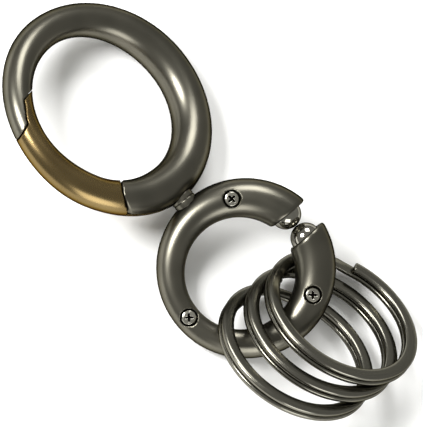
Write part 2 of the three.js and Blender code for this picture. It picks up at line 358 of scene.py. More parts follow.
def block(name: str, low: Sequence[float], high: Sequence[float]) -> Solid:
    """A plain box, used only as a cutting tool."""
    corners = [(low[0], low[1]), (high[0], low[1]), (high[0], high[1]), (low[0], high[1])]
    return prism(name, corners, low[2], high[2])


# ---- Finishes ------------------------------------------------------------------------


def linear(code: str) -> tuple[float, float, float, float]:
    """Turns a colour to linear light, by the sRGB standard's own curve.

    Args:
        code: an sRGB hex colour.

    Returns:
        Linear red, green, blue and alpha.
    """
    shades = [int(code[i : i + 2], 16) / 255 for i in (1, 3, 5)]
    low = [s / 12.92 if s <= 0.04045 else ((s + 0.055) / 1.055) ** 2.4 for s in shades]
    return (*low, 1.0)


def add_node(
    tree: bpy.types.NodeTree, kind: str, inputs: dict | None = None, **settings: object
) -> bpy.types.Node:
    """Adds a node with its settings and links.

    Args:
        tree: the material's or world's node tree.
        kind: the node's type.
        inputs: socket name or number, to a value or to the socket that feeds it.
        settings: properties of the node itself.

    Returns:
        The new node.
    """
    node = tree.nodes.new(kind)
    for name, value in settings.items():
        setattr(node, name, value)
    for name, value in (inputs or {}).items():
        if isinstance(value, bpy.types.NodeSocket):
            tree.links.new(value, node.inputs[name])
        else:
            node.inputs[name].default_value = value
    return node


def empty_material(name: str) -> bpy.types.Material:
    """Makes a material with an empty node tree.

    Args:
        name: the material's name.

    Returns:
        The new material.
    """
    material = bpy.data.materials.new(name)
    material.use_nodes = True
    material.node_tree.nodes.clear()
    return material


def per_metre(size_mm: float) -> float:
    """Noise scale whose features are about this many millimetres across."""
    return 1.0 / (size_mm * MM)


@dataclass(frozen=True)
class PlatedMetal:
    """Plated metal: a cloudy tone, a fine grain and painted shade darkening its recesses."""

    name: str
    slot: str
    dark: str  # the plate drifts between this tone and the light one
    light: str
    rim: str  # tint that the metal takes where it is seen edge on
    roughness: float
    cloud_mm: float  # size of the plate's slow change of tone
    grain_mm: float  # size of the blasted or polished grain
    grain_depth: float  # bump strength of that grain

    def material(self) -> bpy.types.Material:
        """Builds the node material.

        Returns:
            The new material.
        """
        grain_height_mm = 0.02
        spread = 0.015  # the grain moves the roughness this far each way
        material = empty_material(self.name)
        tree = material.node_tree
        place = add_node(tree, "ShaderNodeTexCoord").outputs["Object"]
        cloud = add_node(tree, "ShaderNodeTexNoise", {
            "Vector": place, "Scale": per_metre(self.cloud_mm), "Detail": 1.0, "Roughness": 0.5,
        }).outputs["Fac"]
        grain = add_node(tree, "ShaderNodeTexNoise", {
            "Vector": place, "Scale": per_metre(self.grain_mm), "Detail": 2.0, "Roughness": 0.6,
        }).outputs["Fac"]
        tone = add_node(tree, "ShaderNodeMapRange", {
            "Value": cloud, "From Min": 0.3, "From Max": 0.7,
        }).outputs["Result"]
        plate = add_node(tree, "ShaderNodeMix", {
            0: tone, 6: linear(self.dark), 7: linear(self.light),
        }, data_type="RGBA").outputs[2]
        # Painted shade: where the mesh attribute is set, the plate is darkened to near black,
        # standing in for shade in recesses.
        recess_shade = add_node(tree, "ShaderNodeAttribute", attribute_name=RECESS_SHADE).outputs["Fac"]
        colour = add_node(tree, "ShaderNodeMix", {
            0: recess_shade, 6: plate, 7: linear(RECESS_SHADE_TONE),
        }, data_type="RGBA").outputs[2]
        rough = add_node(tree, "ShaderNodeMapRange", {
            "Value": grain, "From Min": 0.25, "From Max": 0.75,
            "To Min": self.roughness - spread, "To Max": self.roughness + spread,
        }).outputs["Result"]
        bump = add_node(tree, "ShaderNodeBump", {
            "Height": grain, "Strength": self.grain_depth, "Distance": grain_height_mm * MM,
        }).outputs["Normal"]
        shader = add_node(tree, "ShaderNodeBsdfPrincipled", {
            "Base Color": colour, "Metallic": 1.0, "Roughness": rough, "Normal": bump,
            "Specular Tint": linear(self.rim),
        }).outputs["BSDF"]
        add_node(tree, "ShaderNodeOutputMaterial", {"Surface": shader})
        return material


@dataclass(frozen=True)
class DrawnWire:
    """Drawn or rolled wire: fine lines along its length under a plated gloss."""

    name: str
    slot: str
    dark: str  # the lines drift between this tone and the light one
    light: str
    rim: str  # tint that the metal takes where it is seen edge on
    roughness: float
    line_mm: float  # spacing of the drawing lines across the wire
    line_length_mm: float  # how far one line runs before it fades
    line_depth: float  # bump strength of the lines

    def material(self) -> bpy.types.Material:
        """Builds the node material, which follows the wire by its length and girth.

        Returns:
            The new material.
        """
        line_height_mm = 0.01
        material = empty_material(self.name)
        tree = material.node_tree
        wire = add_node(tree, "ShaderNodeUVMap", uv_map="wire").outputs["UV"]
        stretched = add_node(tree, "ShaderNodeMapping", {
            "Vector": wire,
            "Scale": (per_metre(self.line_length_mm), per_metre(self.line_mm), 1.0),
        }).outputs["Vector"]
        lines = add_node(tree, "ShaderNodeTexNoise", {
            "Vector": stretched, "Scale": 1.0, "Detail": 3.0, "Roughness": 0.6,
        }).outputs["Fac"]
        tone = add_node(tree, "ShaderNodeMapRange", {
            "Value": lines, "From Min": 0.3, "From Max": 0.7,
        }).outputs["Result"]
        colour = add_node(tree, "ShaderNodeMix", {
            0: tone, 6: linear(self.dark), 7: linear(self.light),
        }, data_type="RGBA").outputs[2]
        rough = add_node(tree, "ShaderNodeMapRange", {
            "Value": lines, "From Min": 0.3, "From Max": 0.7,
            "To Min": self.roughness - 0.03, "To Max": self.roughness + 0.04,
        }).outputs["Result"]
        bump = add_node(tree, "ShaderNodeBump", {
            "Height": lines, "Strength": self.line_depth, "Distance": line_height_mm * MM,
        }).outputs["Normal"]
        shader = add_node(tree, "ShaderNodeBsdfPrincipled", {
            "Base Color": colour, "Metallic": 1.0, "Roughness": rough, "Normal": bump,
            "Specular Tint": linear(self.rim),
        }).outputs["BSDF"]
        add_node(tree, "ShaderNodeOutputMaterial", {"Surface": shader})
        return material


class Finish(Enum):
    """The finishes that the chain's pieces are given."""

    # Die-cast zinc, blasted and plated gunmetal: a satin sheen with soft, darker rims.
    GUNMETAL = PlatedMetal(
        "gunmetal_plated_zinc", "gunmetal_plate", dark="#5c5a51", light="#6a675d",
        rim="#3e3c36", roughness=0.3, cloud_mm=7.0, grain_mm=0.16, grain_depth=0.03)
    # The same casting plated antique gold: warmer, a little glossier.
    ANTIQUE_GOLD = PlatedMetal(
        "antique_gold_plated_zinc", "antique_gold_plate", dark="#69593b", light="#7a6947",
        rim="#4a402b", roughness=0.27, cloud_mm=9.0, grain_mm=0.16, grain_depth=0.0)
    # Bright nickel on steel screws, sleeves and pins: crisp but not mirror-like.
    NICKEL = PlatedMetal(
        "bright_nickel_plated_steel", "nickel_plate", dark="#a5a298", light="#bab7ac",
        rim="#6b6960", roughness=0.18, cloud_mm=1.5, grain_mm=0.12, grain_depth=0.04)
    # Polished chrome on hardened steel balls: a mirror with faint handling haze.
    CHROME = PlatedMetal(
        "polished_chrome_ball", "polished_chrome", dark="#8d8b82", light="#98958c",
        rim="#191816", roughness=0.09, cloud_mm=1.2, grain_mm=0.4, grain_depth=0.0)
    # Flat spring steel, rolled, tumbled and plated dark nickel: faint drawn lines, high gloss.
    SMOKED_NICKEL = DrawnWire(
        "dark_nickel_plated_spring_steel", "smoked_chrome", dark="#6e6c64", light="#77756b",
        rim="#47463f", roughness=0.2, line_mm=0.25, line_length_mm=14.0, line_depth=0.006)
    # Drawn spring wire: plain bright steel.
    SPRING_STEEL = PlatedMetal(
        "drawn_spring_steel", "spring_steel", dark="#8b8b86", light="#a2a29c",
        rim="#70706c", roughness=0.28, cloud_mm=1.0, grain_mm=0.08, grain_depth=0.05)

    def made(self) -> bpy.types.Material:
        """The finish's material, built once."""
        return bpy.data.materials.get(self.value.name) or self.value.material()


def dress(thing: bpy.types.Object, finish: Finish) -> None:
    """Gives a piece its only material."""
    thing.data.materials.clear()
    thing.data.materials.append(finish.made())


def settle(
    solid: Solid, place: Matrix, body: str, finish: Finish, node: str, even: bool = False
) -> None:
    """Puts a finished piece in the frame, on its body, in place of its CAD node.

    Args:
        solid: the piece, in its own millimetres.
        place: matrix from those to the frame's metres.
        body: the moving body that it rides on.
        finish: what it is made of.
        node: CAD node that it stands for.
        even: whether its shading is weighted towards its large faces.
    """
    thing = solid.placed(place).thing
    thing.data.shade_smooth()
    if even:
        thing.modifiers.new("even_shading", "WEIGHTED_NORMAL").keep_sharp = False
    dress(thing, finish)
    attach(thing, body)
    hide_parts(node)
    LOG.info("%s rides on %s, %d faces", thing.name, body, len(thing.data.polygons))


# ---- Gate ring -----------------------------------------------------------------------


@dataclass
class TaperedTube:
    """A ring of round section whose tube radius changes round the ring."""

    radius: float
    tube_at: Callable[[np.ndarray], np.ndarray]
    land: float = 0.0  # depth of the flat band round the inside

    def solid(self, name: str, steps: int = 360, sides: int = 64) -> Solid:
        """Builds the whole closed ring.

        Args:
            name: name of the mesh.
            steps: sections round the ring.
            sides: points round each section.

        Returns:
            The closed solid.
        """
        angles = np.linspace(0, FULL_TURN, steps, endpoint=False)
        tubes = self.tube_at(angles)
        turns = np.linspace(0, FULL_TURN, sides, endpoint=False)
        points = []
        for angle, tube in zip(angles, tubes):
            outward = np.maximum(tube * np.cos(turns), self.land - tube)
            reach = self.radius + outward
            height = tube * np.sin(turns)
            points += zip(reach * math.cos(angle), reach * math.sin(angle), height)
        return facing_out(Solid(name, points, grid_faces(steps, sides, True)))

    def trued(self, points: np.ndarray) -> np.ndarray:
        """Points that lie close to the tube's skin, moved exactly onto it.

        Args:
            points: an array of points in the ring's frame.

        Returns:
            The points, with the skin made true and the rounded edges left alone.
        """
        close, far = 0.04, 0.13  # nearer points are moved all the way, farther ones not at all
        angle = np.arctan2(points[:, 1], points[:, 0])
        outward = np.hypot(points[:, 0], points[:, 1]) - self.radius
        distance = np.hypot(outward, points[:, 2])
        tube = self.tube_at(angle)
        share = eased(np.clip((far - np.abs(distance - tube)) / (far - close), 0, 1))
        if self.land:
            margin = 1.2  # the land and a little beside it stay as they are
            on_land = outward < self.land * margin - tube
            share = np.where(on_land, 0.0, share)
        scale = 1 + share * (tube / np.maximum(distance, 1e-6) - 1)
        reach = self.radius + outward * scale
        return np.stack(
            [reach * np.cos(angle), reach * np.sin(angle), points[:, 2] * scale], axis=1
        )


@dataclass
class GateRing:
    """The round ring with its sprung gate, half-lapped together at the pin."""

    place: Matrix
    radius: float = 18.4
    pin_angle: float = math.radians(-29)
    pin_radius: float = 0.8
    pin_top: float = 2.2
    pin_bore: float = 0.95  # radius of the hole round the pin
    bore_low: float = -2.2  # the blind hole in the ring, along the pin
    bore_high: float = 2.4
    pocket_low: float = -1.85  # the spring's pocket in the gate, along the pin
    pocket_high: float = 0.3
    pocket_radius: float = 1.8
    socket_start: float = 16.4  # the swivel stud's socket, along the chain
    socket_radius: float = 1.45
    seat_start: float = 21.5  # and the swivel collar's seat at its mouth
    seat_radius: float = 2.36
    lobe_radius: float = 3.6  # round end of the ring's front lobe, about the pin
    tail_reach: float = 7.2  # how far the gate's back half runs on past the pin
    nose_reach: float = 27.2  # from the pin to the nose's tip
    lip_reach: float = 24.3  # from the pin to the step below the hook's lip
    seam_radius: float = 18.8  # middle radius of the seam under the lip
    seam_sway: float = 0.3  # the seam leans in an S by this much
    fit: float = 0.3  # gap between gate and ring
    seam: float = 0.2  # gap under the hook's lip
    notch: float = 0.1  # gap beyond the nose's tip
    grain: float = 0.18  # size of the cast skin's quads
    smoothing: int = 3  # passes that give the cast edges their radius
    inset: float = 0.06  # keeps the round skin inside the solid's flat facets
    tall: float = 6.0  # cutting tools reach this far each way from the ring's plane
    outer_reach: float = 30.0  # cutting outlines run between these two radii
    inner_reach: float = 13.0

    def tube_at(self, angle: np.ndarray) -> np.ndarray:
        """Tube radius round the ring: thickest by the swivel, slimmest on the gate.

        Args:
            angle: angles about the ring's centre, in radians.

        Returns:
            The tube's radius at each angle.
        """
        stations = np.array([-105.0, -55.0, 0.0, 90.0, 180.0, 255.0])  # degrees
        radii = np.array([2.7, 3.15, 4.0, 3.85, 3.15, 2.7]) - self.inset
        first = stations[0]
        turn = np.mod(np.degrees(angle) - first, 360.0) + first
        span = np.searchsorted(stations, turn, side="right") - 1
        span = np.clip(span, 0, len(stations) - 2)
        share = (turn - stations[span]) / (stations[span + 1] - stations[span])
        return radii[span] + (radii[span + 1] - radii[span]) * eased(share)

    @property
    def tube(self) -> TaperedTube:
        """The ring's tube."""
        return TaperedTube(self.radius, self.tube_at)

    @property
    def pin(self) -> Point:
        """The pin's place in the ring's plane."""
        return (self.radius * math.cos(self.pin_angle), self.radius * math.sin(self.pin_angle))

    @property
    def pin_place(self) -> Matrix:
        """Frame whose X axis runs up the pin."""
        x, y = self.pin
        return Matrix.Translation((x, y, 0)) @ Matrix.Rotation(-math.pi / 2, 4, "Y")

    def meeting(self, reach: float, radius: float) -> float:
        """Angle about the ring's centre where an arc about the pin meets a radius."""
        cosine = (radius ** 2 + self.radius ** 2 - reach ** 2) / (2 * radius * self.radius)
        return self.pin_angle - math.acos(cosine)

    def arc_about_pin(self, reach: float, start: float, end: float) -> list[Point]:
        """An arc about the pin from one radius of the ring to another.

        Args:
            reach: the arc's own radius.
            start: distance from the ring's centre at which it starts.
            end: distance from the ring's centre at which it ends.

        Returns:
            Points along the arc.
        """
        ends = []
        for radius in (start, end):
            angle = self.meeting(reach, radius)
            x, y = radius * math.cos(angle), radius * math.sin(angle)
            ends.append(math.atan2(y - self.pin[1], x - self.pin[0]))
        if ends[1] > ends[0]:
            ends[1] -= FULL_TURN
        return arc(self.pin, reach, ends[0], ends[1], steps=24)

    def gate_outline(self, margin: float, beyond: float) -> list[Point]:
        """Outline of the gate seen along the ring's axis.

        Args:
            margin: how much the outline is grown under the lip.
            beyond: how much it is grown past the nose's tip.

        Returns:
            The outline's points.
        """
        seam_steps = 16
        lip = self.lip_reach + margin
        nose = self.nose_reach + beyond
        at_lip = self.seam_radius + self.seam_sway + margin
        at_nose = self.seam_radius - self.seam_sway + margin
        outline = [(self.inner_reach * math.cos(self.pin_angle),
                    self.inner_reach * math.sin(self.pin_angle))]
        outline += arc((0, 0), self.outer_reach, self.pin_angle,
                       self.meeting(lip, self.outer_reach), steps=40)
        outline += self.arc_about_pin(lip, self.outer_reach, at_lip)[1:]
        start, end = self.meeting(lip, at_lip), self.meeting(nose, at_nose)
        for step in range(1, seam_steps):
            share = step / seam_steps
            radius = at_lip + (at_nose - at_lip) * (1 - math.cos(math.pi * share)) / 2
            angle = start + (end - start) * share
            outline.append((radius * math.cos(angle), radius * math.sin(angle)))
        outline += self.arc_about_pin(nose, at_nose, self.inner_reach)
        return outline

    def stud_socket(self) -> Solid:
        """Cutting tool for the swivel stud's socket and the collar's seat.

        Returns:
            The tool, in the chain's frame.
        """
        profile = [
            (self.socket_start, 0),
            (self.socket_start, self.socket_radius),
            (self.seat_start, self.socket_radius),
            (self.seat_start, self.seat_radius),
            (self.outer_reach, self.seat_radius),
            (self.outer_reach, 0),
        ]
        return turned("stud_socket", profile)

    def body(self) -> Solid:
        """The ring without its gate: hook at one end, front lobe at the other.

        Returns:
            The finished casting.
        """
        lobe = self.tube.solid("front_lobe").within(
            disc("lobe_tool", self.pin, self.lobe_radius, 0.0, self.tall))
        ring = self.tube.solid("gate_ring_body")
        room = self.gate_outline(self.seam, self.notch)
        ring.minus(prism("gate_room", room, -self.tall, self.tall))
        ring.plus(lobe)
        ring.minus(
            disc("tail_room", self.pin, self.tail_reach + self.fit, -self.tall, self.fit / 2),
            drill("pin_bore", self.bore_low, self.bore_high, self.pin_bore, self.pin_place),
            self.stud_socket(),
        )
        return ring.softened(self.grain, self.smoothing).moved(self.tube.trued)

    def gate(self) -> Solid:
        """The gate: nose under the hook's lip, back half lapped behind the ring.

        Returns:
            The finished casting.
        """
        tail = self.tube.solid("gate_tail").within(
            disc("tail_tool", self.pin, self.tail_reach, -self.tall, -self.fit / 2))
        gate = self.tube.solid("gate_arm")
        gate.within(prism("gate_plan", self.gate_outline(0.0, 0.0), -self.tall, self.tall))
        gate.plus(tail)
        gate.minus(
            disc("lobe_room", self.pin, self.lobe_radius + self.fit, -self.fit / 2, self.tall),
            drill("pin_way", -self.tall, self.tall, self.pin_bore, self.pin_place),
            drill("spring_pocket", self.pocket_low, self.pocket_high, self.pocket_radius,
                  self.pin_place),
        )
        return gate.softened(self.grain, self.smoothing).moved(self.tube.trued)

    def gate_pin(self) -> Solid:
        """Headless pin with a domed end that shows on the back.

        Returns:
            The turned pin.
        """
        sink = 0.5  # the end lies this far below the skin
        dome = 0.12
        edge = 0.05
        low = -float(self.tube_at(np.array([self.pin_angle]))[0]) + sink
        profile = rounded([(low - dome, 0), (low + edge, self.pin_radius),
                           (self.pin_top, self.pin_radius), (self.pin_top, 0)], radius=0.15)
        return turned("gate_hinge_pin", profile, place=self.pin_place)

    def build(self) -> None:
        """Builds and dresses the ring, the gate and its pin."""
        settle(self.body(), self.place, "gate_ring", Finish.GUNMETAL, "ring_body")
        settle(self.gate(), self.place, "gate_arm", Finish.ANTIQUE_GOLD, "gate")
        settle(self.gate_pin(), self.place, "gate_ring", Finish.NICKEL, "gate_pin", even=True)


# ---- Swivel --------------------------------------------------------------------------


@dataclass
class Swivel:
    """The plain collar between the two rings, round the stud that joins them."""

    place: Matrix
    start: float = 21.6  # from its seat in the gate ring
    end: float = 23.85  # to its seat in the C-ring
    inner: float = 1.45
    outer: float = 2.3
    groove_middle: float = 22.675
    groove_half: float = 0.12  # half the groove's width
    groove_depth: float = 0.15
    edge: float = 0.12  # rounding of its edges

    def build(self) -> None:
        """Builds the collar with a turned groove round its middle."""
        outline = [
            (self.start, self.inner),
            (self.start, self.outer),
            (self.groove_middle - self.groove_half, self.outer),
            (self.groove_middle, self.outer - self.groove_depth),
            (self.groove_middle + self.groove_half, self.outer),
            (self.end, self.outer),
            (self.end, self.inner),
        ]
        profile = rounded(outline, self.edge)
        collar = turned("swivel_collar_turned", profile + [profile[0]], sides=96)
        settle(collar, self.place, "gate_ring", Finish.GUNMETAL, "swivel_collar", even=True)


# ---- C-ring --------------------------------------------------------------------------


class Side(Enum):
    """The two ends of the C-ring, as directions along its X axis."""

    LEFT = -1
    RIGHT = 1


@dataclass
class CRing:
    """Two half shells held by screws, with a sprung ball in each end face."""

    chain: Matrix
    centre: float = 40.0  # along the chain
    radius: float = 13.6
    twist: float = math.radians(34)  # turn about the swivel
    mean_tube: float = 3.37  # tube radius half way round
    swell: float = 0.75  # how much thicker it is at the gap, and slimmer at the far side
    gap: float = 5.2  # between the two end faces
    parting: float = 0.11  # half the line between the shells
    land: float = 0.3  # flat band round the inside wall
    lip_depth: float = 0.45  # how much the tube is rounded off at its end faces
    lip_length: float = 0.75
    screw_degrees: tuple[float, ...] = (30.0, 150.0, 270.0)
    screw_sink: float = 0.45  # from the skin down to a screw head's top
    head_radius: float = 1.38
    bore_radius: float = 3.35  # for a sleeve and its ball
    bore_depth: float = 3.4
    spring_bore_radius: float = 1.35
    spring_bore_depth: float = 6.6
    plunger_offset: float = 13.05  # of both balls from the ring's centre
    grain: float = 0.17  # size of the cast skin's quads
    smoothing: int = 4  # passes that give the cast edges their radius
    tall: float = 6.0  # the shells' cutting tool reaches this high
    far: float = 30.0  # and this far out

    def tube_at(self, angle: np.ndarray) -> np.ndarray:
        """Tube radius at angles in radians."""
        return self.mean_tube + self.swell * np.sin(angle)

    def lipped(self, points: np.ndarray) -> np.ndarray:
        """Draws the tube's skin in towards the end faces, so that their lips are round.

        Args:
            points: the skin's points in the ring's frame.

        Returns:
            The points, moved towards the tube's middle line near the gap.
        """
        inside = np.abs(points[:, 0]) - self.gap / 2
        near = np.clip(1 - inside / self.lip_length, 0, 1) * (points[:, 1] > 0)
        drop = self.lip_depth * (1 - np.sqrt(1 - near ** 2))
        reach = np.hypot(points[:, 0], points[:, 1])
        outward = reach - self.radius
        scale = 1 - drop / np.hypot(outward, points[:, 2])
        stretch = (self.radius + outward * scale) / reach
        return points * np.stack([stretch, stretch, scale], axis=1)

    def trued(self, points: np.ndarray) -> np.ndarray:
        """Makes the tube's skin true, but leaves the rounded lips of the end faces alone.

        Args:
            points: an array of points in the ring's frame.

        Returns:
            The points after truing.
        """
        fade = 0.6  # truing comes in over this length behind the lips
        inside = np.abs(points[:, 0]) - self.gap / 2
        behind = np.clip((inside - self.lip_length) / fade, 0, 1)
        share = np.where(points[:, 1] > 0, behind, 1.0)
        return points + (self.tube.trued(points) - points) * share[:, None]

    @property
    def tube(self) -> TaperedTube:
        """The ring's tube."""
        return TaperedTube(self.radius, self.tube_at, self.land)

    @property
    def place(self) -> Matrix:
        """Matrix from the C-ring's own millimetres to the frame's metres."""
        turn = Matrix.Rotation(self.twist, 4, "X")
        return self.chain @ Matrix.Translation((self.centre, 0, 0)) @ turn

    def plunger_place(self, side: Side) -> Matrix:
        """Frame whose X axis runs into the metal from an end face."""
        turn = Matrix.Rotation(0 if side is Side.RIGHT else math.pi, 4, "Y")
        return Matrix.Translation((side.value * self.gap / 2, self.plunger_offset, 0)) @ turn

    def screw_place(self, degrees: float) -> Matrix:
        """Finds where a screw stands.

        Args:
            degrees: the screw's place round the ring.

        Returns:
            Frame whose X axis runs up the screw, out of the front shell.
        """
        return (Matrix.Rotation(math.radians(degrees), 4, "Z")
                @ Matrix.Translation((self.radius, 0, 0))
                @ Matrix.Rotation(-math.pi / 2, 4, "Y"))

    def screw_top(self, degrees: float) -> float:
        """Height of a screw head's top above the parting plane."""
        return self.mean_tube + self.swell * math.sin(math.radians(degrees)) - self.screw_sink

    def screw_hole(self, degrees: float) -> Solid:
        """Counterbore and clearance hole, with a chamfer at the rim.

        Args:
            degrees: the screw's place round the ring.

        Returns:
            The cutting tool.
        """
        top = self.screw_top(degrees)
        bottom = top - 3.8
        seat = top - 0.9
        rim = top + 0.3
        above = rim + 0.7
        clearance = 0.75
        counterbore = 1.68
        chamfer = 0.5
        profile = [(bottom, 0), (bottom, clearance), (seat, clearance), (seat, counterbore),
                   (rim, counterbore), (above, counterbore + chamfer), (above, 0)]
        return turned("screw_hole", profile, sides=40, place=self.screw_place(degrees))

    def plunger_bore(self, side: Side) -> Solid:
        """Stepped bore for a sleeve, a ball and its spring.

        Args:
            side: the end face that it opens in.

        Returns:
            The cutting tool.
        """
        outside = -1.0
        profile = [
            (outside, 0),
            (outside, self.bore_radius),
            (self.bore_depth, self.bore_radius),
            (self.bore_depth, self.spring_bore_radius),
            (self.spring_bore_depth, self.spring_bore_radius),
            (self.spring_bore_depth, 0),
        ]
        return turned("plunger_bore", profile, place=self.plunger_place(side))

    def stud_room(self) -> Solid:
        """Room for the stud's shaft and head, and the collar's seat, at the swivel.

        Returns:
            The cutting tool.
        """
        seat, seat_radius = -16.05, 2.38
        shoulder, shaft_radius = -14.8, 1.5
        head_end, head_radius = -13.3, 2.5
        profile = [
            (-self.far, 0),
            (-self.far, seat_radius),
            (seat, seat_radius),
            (seat, shaft_radius),
            (shoulder, shaft_radius),
            (shoulder, head_radius),
            (head_end, head_radius),
            (head_end, 0),
        ]
        return turned("stud_room", profile, sides=40)

    def shell(self, name: str, low: float, high: float) -> Solid:
        """One half shell.

        Args:
            name: name of the piece.
            low: height of its lower side.
            high: height of its upper side.

        Returns:
            The finished casting.
        """
        half_gap = self.gap / 2
        shell = self.tube.solid(name, steps=720).moved(self.lipped)
        shell.within(block("half_tool", (-self.far, -self.far, low), (self.far, self.far, high)))
        shell.minus(
            block("gap_tool", (-half_gap, 0, -self.far), (half_gap, self.far, self.far)),
            self.stud_room(),
            *(self.plunger_bore(side) for side in Side),
            *(self.screw_hole(degrees) for degrees in self.screw_degrees),
        )
        return shell.softened(self.grain, self.smoothing).moved(self.trued)

    def screw(self, number: int, degrees: float) -> Solid:
        """Domed screw with a cross recess and a plain shank.

        Args:
            number: the screw's number, from 1.
            degrees: its place round the ring.

        Returns:
            The finished screw, with painted shade in its recess and down the head's side.
        """
        top = self.screw_top(degrees)
        head = self.head_radius
        shank = 0.65
        outline = [  # depth below the head's top, and radius
            (3.6, 0), (3.6, 0.45), (3.3, shank), (0.8, shank), (0.8, head),
            (0.22, head), (0.1, head - 0.12), (0.02, head - 0.45), (0, 0.5), (0, 0),
        ]
        profile = [(top - depth, radius) for depth, radius in outline]
        screw = turned(f"cross_screw_{number}", profile, sides=64)
        arm, web = 0.98, 0.24  # half the length and half the width of a recess's arm
        recess_top, recess_floor = top + 0.2, top - 0.6
        floor_size = 0.55  # of the recess's floor beside its mouth
        left_at = 0.3 * number  # each screw stopped at an angle of its own

        def sloped(points: np.ndarray) -> np.ndarray:
            """Narrows an arm towards its floor and stands it along the screw.

            Args:
                points: the arm's points, with its mouth at height 1 and its floor at 0.

            Returns:
                The points in the screw's frame.
            """
            at_mouth = points[:, 2] > 0.5
            size = np.where(at_mouth, 1.0, floor_size)
            height = np.where(at_mouth, recess_top, recess_floor)
            return np.stack([height, points[:, 0] * size, points[:, 1] * size], axis=1)

        def recessed(points: np.ndarray) -> np.ndarray:
            """Painted shade in the cross recess and down the head's side.

            Args:
                points: the screw's points.

            Returns:
                How shaded each of them is painted: over 1 is fully shaded, under 0 is unshaded.
            """
            unshaded_depth, droop, fade = 0.06, 0.1, 0.14  # depths below the head's dome
            radius = np.hypot(points[:, 1], points[:, 2])
            dome = top - unshaded_depth - droop * (radius / head) ** 2
            return (dome - points[:, 0]) / fade

        for spin in (0.0, math.pi / 2):
            slot = prism("recess_tool", [(-arm, -web), (arm, -web), (arm, web), (-arm, web)],
                         0, 1)
            slot.moved(sloped).placed(Matrix.Rotation(spin + left_at, 4, "X"))
            screw.minus(facing_out(slot))
        # paints shade into the cross recess and down the head's side
        screw.softened(grain=0.05, passes=1).shade_painted(recessed)
        return screw.placed(self.screw_place(degrees))

    def ball(self, side: Side) -> Solid:
        """Ball-nosed plunger: a ball that grows into a flanged, hollow skirt.

        Args:
            side: the end face that it sits in.

        Returns:
            The turned plunger.
        """
        radius = 2.94
        to_middle = 0.02  # from the nose to the middle of the gap
        centre = radius + to_middle - self.gap / 2
        back = 2.25  # end of the skirt
        flange, flange_radius = 0.6, 3.1
        hollow, hollow_start = 1.25, centre + 0.6
        nose = [(centre - radius * math.cos(a), radius * math.sin(a))
                for a in np.linspace(0, math.pi / 2, 33)]
        skirt = rounded([
            (centre, radius), (back - flange, radius), (back - flange, flange_radius),
            (back, flange_radius), (back, hollow), (hollow_start, hollow), (hollow_start, 0),
        ], radius=0.08)
        return turned(f"chrome_ball_{side.name.lower()}", nose + skirt[1:], sides=96,
                      place=self.plunger_place(side))

    def sleeve(self, side: Side) -> Solid:
        """Thin pressed-in sleeve round the ball, with a rounded mouth.

        Args:
            side: the end face that it sits in.

        Returns:
            The turned sleeve.
        """
        start, end, inner, outer = 0.08, 1.5, 2.98, 3.3
        outline = [(end, inner), (start, inner), (start, outer), (end, outer), (end, inner)]
        profile = rounded(outline, radius=0.1)
        return turned(f"ball_sleeve_{side.name.lower()}_turned", profile, sides=96,
                      place=self.plunger_place(side))

    def build(self) -> None:
        """Builds and dresses the shells, screws, balls and sleeves."""
        front = self.shell("c_ring_front", self.parting, self.tall)
        settle(front, self.place, "c_ring", Finish.GUNMETAL, "c_ring_front_shell")
        back = self.shell("c_ring_back", -self.tall, -self.parting)
        settle(back, self.place, "c_ring", Finish.GUNMETAL, "c_ring_back_shell")
        for number, degrees in enumerate(self.screw_degrees, 1):
            settle(self.screw(number, degrees), self.place, "c_ring", Finish.NICKEL,
                   f"shell_screw_{number}")
        for side in Side:
            word = side.name.lower()
            settle(self.ball(side), self.place, f"plunger_{word}", Finish.CHROME,
                   f"ball_{word}", even=True)
            settle(self.sleeve(side), self.place, "c_ring", Finish.NICKEL,
                   f"ball_sleeve_{word}", even=True)


# ---- Split key rings -----------------------------------------------------------------


